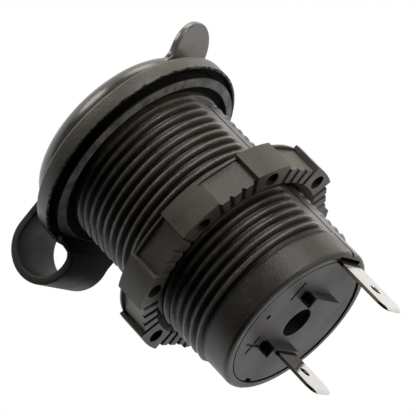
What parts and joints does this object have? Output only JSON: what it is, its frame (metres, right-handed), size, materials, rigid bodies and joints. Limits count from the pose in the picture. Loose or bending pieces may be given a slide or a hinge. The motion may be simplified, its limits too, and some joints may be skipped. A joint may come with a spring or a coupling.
{
  "type": "panel-mount 12 volt power socket",
  "caption": "Round threaded panel power socket with tethered rubber cap, ring nut, metal receptacle shell and flat blade terminals at the rear.",
  "frame": {"origin": "on the socket's axis, in the plane where the rubber seal's lip meets the panel", "axes": "+Z along the axis out of the panel, towards the cap; +X towards the cap's pull tab and the ground terminal"},
  "size_m": [0.0482, 0.0376, 0.0568],
  "materials": {
    "body_plastic": "moulded black plastic, satin",
    "plate_plastic": "moulded dark grey plastic, satin",
    "nut_plastic": "moulded black-brown plastic, satin",
    "strap_rubber": "soft black rubber, matt",
    "cap_rubber": "soft black rubber, satin",
    "plated_shell": "nickel plated, drawn",
    "plated_blade": "tin plated brass, stamped",
    "plated_rivet": "nickel plated",
    "brass_contact": "bare brass",
    "phenolic": "brown phenolic board"
  },
  "bodies": {
    "socket": {"housing": "body_plastic", "contact_shell": "plated_shell", "ground_blade": "plated_blade", "insulator_disc": "phenolic", "centre_contact": "brass_contact", "centre_rivet": "plated_rivet", "positive_blade": "plated_blade", "rear_plate": "plate_plastic", "seal_strap": "strap_rubber"},
    "cap": {"cap": "cap_rubber"},
    "ring_nut": {"ring_nut": "nut_plastic"}
  },
  "joints": [
    {"name": "cap_hinge", "type": "hinge", "parent": "socket", "child": "cap", "pos_m": [-0.0199, 0, 0.0084], "axis": [0, -1, 0], "range_deg": [0, 160]},
    {"name": "nut_travel", "type": "slide", "parent": "socket", "child": "ring_nut", "axis": [0, 0, 1], "range_m": [-0.009, 0.0125]}
  ]
}
